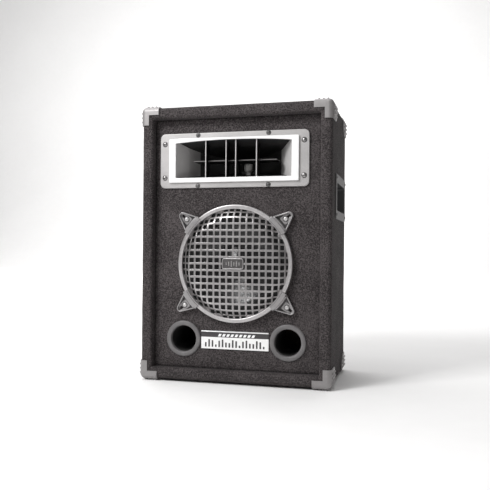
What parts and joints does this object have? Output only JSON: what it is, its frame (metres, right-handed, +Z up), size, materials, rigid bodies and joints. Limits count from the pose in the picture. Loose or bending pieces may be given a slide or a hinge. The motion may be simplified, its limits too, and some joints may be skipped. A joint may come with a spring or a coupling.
{
  "type": "pa speaker cabinet",
  "caption": "Carpeted floor-standing PA speaker cabinet with a vaned horn, a grilled woofer, bass ports, recessed side handles and metal corner protectors.",
  "frame": {"origin": "middle of the base, level with the ribs of the bottom corner protectors that it stands on", "axes": "+Z up, -Y towards the front (grille and horn), +X to the right as the front is looked at"},
  "size_m": [0.3436, 0.208, 0.4836],
  "materials": {
    "wood": "matt",
    "carpet": "napped",
    "wadding": "fluffy",
    "horn_plastic": "satin",
    "chrome": "polished",
    "black_plastic": "textured",
    "cone_paper": "satin",
    "plated_steel": "bright",
    "lamp_glass": "clear",
    "painted_steel": "satin",
    "surround_rubber": "matt",
    "spider_cloth": "matt",
    "copper": "satin",
    "ferrite": "matt",
    "grille_steel": "satin",
    "grey_plastic": "satin",
    "nameplate": "gloss",
    "red_plastic": "gloss",
    "circuit_board": "matt",
    "capacitor_film": "gloss",
    "lead_jacket": "matt",
    "corner_metal": "satin"
  },
  "bodies": {
    "cabinet": {"top_panel": "wood", "bottom_panel": "wood", "left_side_panel": "wood", "right_side_panel": "wood", "back_panel": "wood", "front_baffle": "wood", "shell_carpet": "carpet", "baffle_carpet": "carpet", "back_carpet": "carpet", "damping_wadding": "wadding", "horn_body": "horn_plastic", "horn_vanes": "horn_plastic", "horn_bezel": "chrome", "horn_driver_housing": "black_plastic", "carry_handle_left": "black_plastic", "carry_handle_right": "black_plastic", "terminal_cup": "black_plastic", "input_jack": "black_plastic", "horn_diaphragm": "cone_paper", "lamp_holder": "plated_steel", "magnet_top_plate": "plated_steel", "pole_piece": "plated_steel", "grille_badge": "plated_steel", "clamp_screw_top_right": "plated_steel", "clamp_screw_top_left": "plated_steel", "clamp_screw_bottom_left": "plated_steel", "clamp_screw_bottom_right": "plated_steel", "lamp_bulb": "lamp_glass", "woofer_basket": "painted_steel", "cone_surround": "surround_rubber", "spider": "spider_cloth", "crossover_coil": "copper", "magnet_ring": "ferrite", "woofer_grille": "grille_steel", "grille_ring": "grille_steel", "grille_clamp_top_right": "grey_plastic", "grille_clamp_top_left": "grey_plastic", "grille_clamp_bottom_left": "grey_plastic", "grille_clamp_bottom_right": "grey_plastic", "bass_port_left": "grey_plastic", "bass_port_right": "grey_plastic", "nameplate": "nameplate", "crossover_board": "circuit_board", "crossover_capacitor": "capacitor_film", "input_lead": "lead_jacket", "woofer_lead": "lead_jacket", "horn_lead": "lead_jacket", "corner_top_front_left": "corner_metal", "corner_top_front_right": "corner_metal", "corner_top_back_left": "corner_metal", "corner_top_back_right": "corner_metal", "corner_bottom_front_left": "corner_metal", "corner_bottom_front_right": "corner_metal", "corner_bottom_back_left": "corner_metal", "corner_bottom_back_right": "corner_metal"},
    "cone": {"woofer_cone": "cone_paper", "dust_cap": "cone_paper", "voice_coil": "copper"},
    "red_lever": {"push_lever_red": "red_plastic"},
    "black_lever": {"push_lever_black": "black_plastic"}
  },
  "joints": [
    {"name": "cone_travel", "type": "slide", "parent": "cabinet", "child": "cone", "axis": [0, -1, 0], "range_m": [-0.004, 0.004], "stiffness_N_per_m": 1500, "deforming": ["cone_surround", "spider"]},
    {"name": "red_lever_press", "type": "hinge", "parent": "cabinet", "child": "red_lever", "pos_m": [-0.03, 0.08805, 0.1628], "axis": [-1, 0, 0], "range_deg": [0, 16], "stiffness_Nm_per_rad": 0.02},
    {"name": "black_lever_press", "type": "hinge", "parent": "cabinet", "child": "black_lever", "pos_m": [-0.012, 0.08805, 0.1628], "axis": [-1, 0, 0], "range_deg": [0, 16], "stiffness_Nm_per_rad": 0.02}
  ]
}
